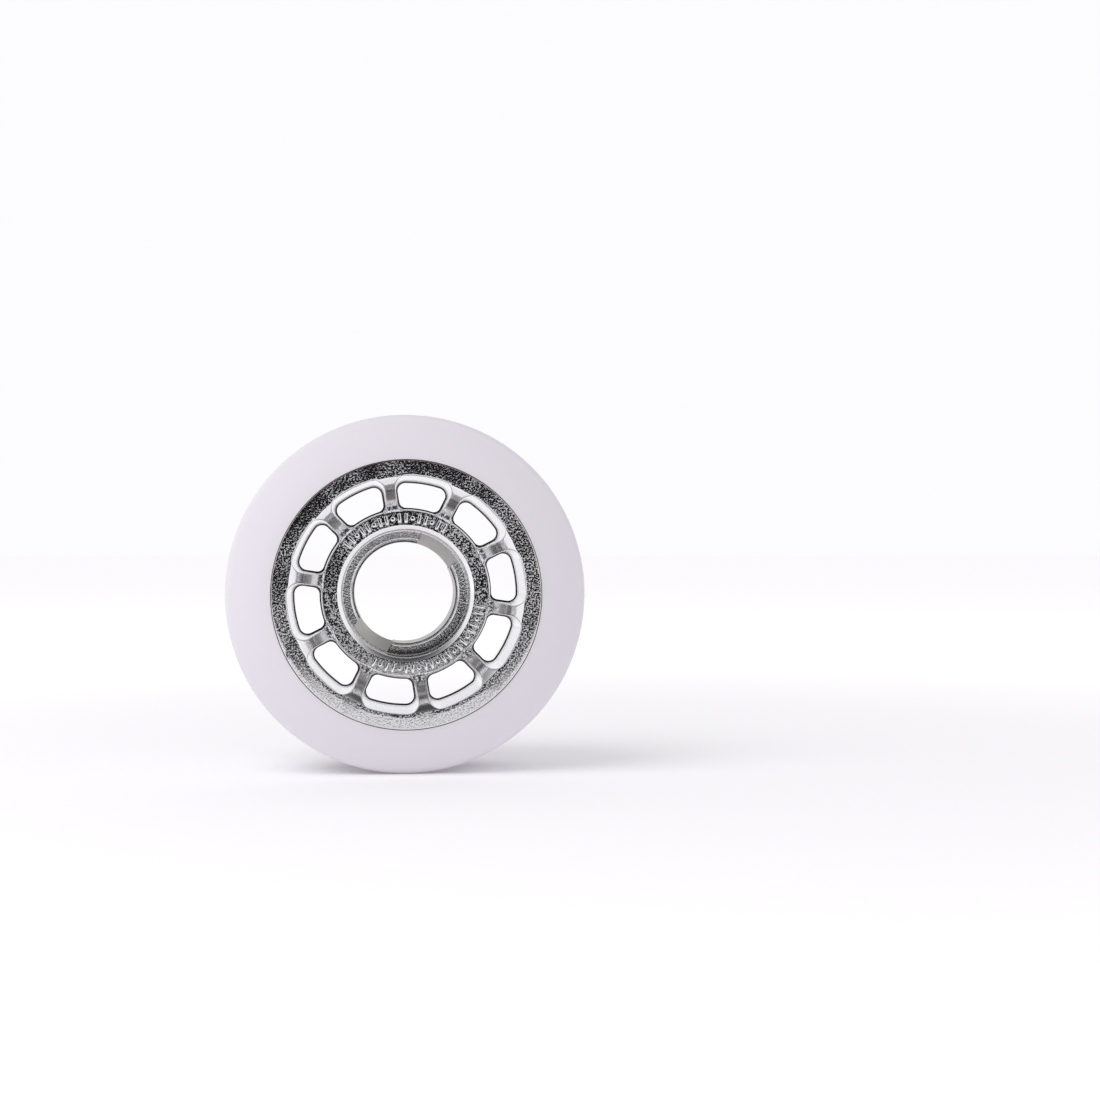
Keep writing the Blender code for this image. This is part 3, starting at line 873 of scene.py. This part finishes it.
def finish_hub(hub):
    hub.data.materials.clear()
    finishes = (polished_chrome, textured_chrome, shoulder_chrome, thin_chrome, painted_shade_line)
    for finish in finishes:
        hub.data.materials.append(finish())
    for face in hub.data.polygons:
        face.material_index = hub_finish(face.center, face.normal)


# ---- floor, light and camera -----------------------------------------------------------
SHEET_SIZE = 12.0
SHEET_FRONT = 0.235                               # the sheet ends this far in front of the wheel
FLOOR_GLOW = 0.36
TENT_FILL = 0.68
OPENING_AIM = (-0.15, -0.96, 0.12)                # the way to the tent's opening
OPENING_EDGE = (0.79, 0.88)                       # cosines of the angle where it turns dark


def make_floor():
    """A wide white sheet, lit from below as well, so that it runs into the background."""
    deselect()
    bpy.ops.mesh.primitive_plane_add(size=SHEET_SIZE, location=(0, 0, FLOOR))
    floor = bpy.context.object
    floor.name = "floor"
    bpy.ops.transform.translate(value=(0, SHEET_SIZE / 2 - SHEET_FRONT, 0))
    bpy.ops.object.transform_apply(location=True)
    material, tree, shader = new_material("backlit_white_sheet", {
        "Base Color": linear("F6F5F7"), "Roughness": 0.8, "Specular IOR Level": 0.0,
        "Emission Color": linear("FFFDFF")})
    place = add_node(tree, "ShaderNodeTexCoord")
    away = add_node(tree, "ShaderNodeVectorMath", settings={"operation": "LENGTH"},
                    links={0: place.outputs["Object"]})
    glow = add_node(tree, "ShaderNodeMapRange", settings={"interpolation_type": "SMOOTHSTEP"},
                    inputs={"From Min": 0.06, "From Max": 0.40, "To Min": 0.1, "To Max": FLOOR_GLOW},
                    links={"Value": away.outputs["Value"]})
    tree.links.new(glow.outputs["Result"], shader.inputs["Emission Strength"])
    floor.data.materials.append(material)


def make_world():
    """White light tent; chrome also sees the dark room through the opening in front of the wheel."""
    world = bpy.data.worlds.new("light_tent")
    bpy.context.scene.world = world
    world.use_nodes = True
    world.cycles.sampling_method = "NONE"
    tree = world.node_tree
    tree.nodes.clear()
    place = add_node(tree, "ShaderNodeTexCoord")
    opening = add_node(tree, "ShaderNodeVectorMath", settings={"operation": "DOT_PRODUCT"},
                       inputs={1: Vector(OPENING_AIM).normalized()},
                       links={0: place.outputs["Generated"]})
    room = add_node(tree, "ShaderNodeMapRange", settings={"interpolation_type": "SMOOTHSTEP"},
                    inputs={"From Min": OPENING_EDGE[0], "From Max": OPENING_EDGE[1],
                            "To Min": 1.0, "To Max": 0.015},
                    links={"Value": opening.outputs["Value"]})
    parts = add_node(tree, "ShaderNodeSeparateXYZ", links={0: place.outputs["Generated"]})
    roof = add_node(tree, "ShaderNodeMapRange", settings={"interpolation_type": "SMOOTHSTEP"},
                    inputs={"From Min": 0.35, "From Max": 0.90, "To Min": 1.0, "To Max": 0.07},
                    links={"Value": parts.outputs["Z"]})
    mirrored = add_node(tree, "ShaderNodeMath", settings={"operation": "MINIMUM"},
                        links={0: roof.outputs["Result"], 1: room.outputs["Result"]})
    path = add_node(tree, "ShaderNodeLightPath")
    seen = add_node(tree, "ShaderNodeMix", inputs={3: TENT_FILL},
                    links={0: path.outputs["Is Diffuse Ray"], 2: mirrored.outputs[0]})
    level = add_node(tree, "ShaderNodeMath", settings={"operation": "MAXIMUM"},
                     links={0: seen.outputs[0], 1: path.outputs["Is Camera Ray"]})
    light = add_node(tree, "ShaderNodeBackground", inputs={"Color": linear("FDFCFE")},
                     links={"Strength": level.outputs[0]})
    add_node(tree, "ShaderNodeOutputWorld", links={"Surface": light.outputs[0]})


def make_light(name, place, aim, size, power):
    data = bpy.data.lights.new(name, "AREA")
    data.shape = "RECTANGLE"
    data.size, data.size_y = size
    data.energy = power
    lamp = bpy.data.objects.new(name, data)
    bpy.context.scene.collection.objects.link(lamp)
    lamp.location = place
    lamp.visible_glossy = False
    lamp.rotation_euler = (Vector(aim) - Vector(place)).to_track_quat("-Z", "Y").to_euler()
    return lamp


def make_camera():
    data = bpy.data.cameras.new("camera")
    data.sensor_width = 36.0
    data.lens = 58.6
    data.clip_start, data.clip_end = 0.01, 20.0
    camera = bpy.data.objects.new("camera", data)
    bpy.context.scene.collection.objects.link(camera)
    camera.location = (-7.4 * MM, FRONT - 300.5 * MM, 7.5 * MM)
    camera.rotation_euler = (math.pi / 2, 0, math.radians(-5.97))
    bpy.context.scene.camera = camera


# ---- the wheel ---------------------------------------------------------------------------
hub = make_hub()
finish_hub(hub)
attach(hub, "root")
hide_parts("hub")

marks = make_marks()
marks.data.materials.append(hub.data.materials[POLISHED])
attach(marks, "root")

film = make_bond_film()
film.data.materials.append(cured_adhesive())
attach(film, "root")
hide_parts("bond_layer")

tyre = make_tyre()
tyre.data.materials.append(cast_polyurethane())
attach(tyre, "root")
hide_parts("tyre")

ink = make_print(tyre)
ink.data.materials.append(printing_ink())
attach(ink, "root")

make_floor()
make_world()
make_light("key_softbox", (-0.35, -0.25, 0.55), (0, 0, 0), (0.5, 0.5), 2.0)
make_camera()
bpy.context.scene.view_settings.view_transform = "Standard"
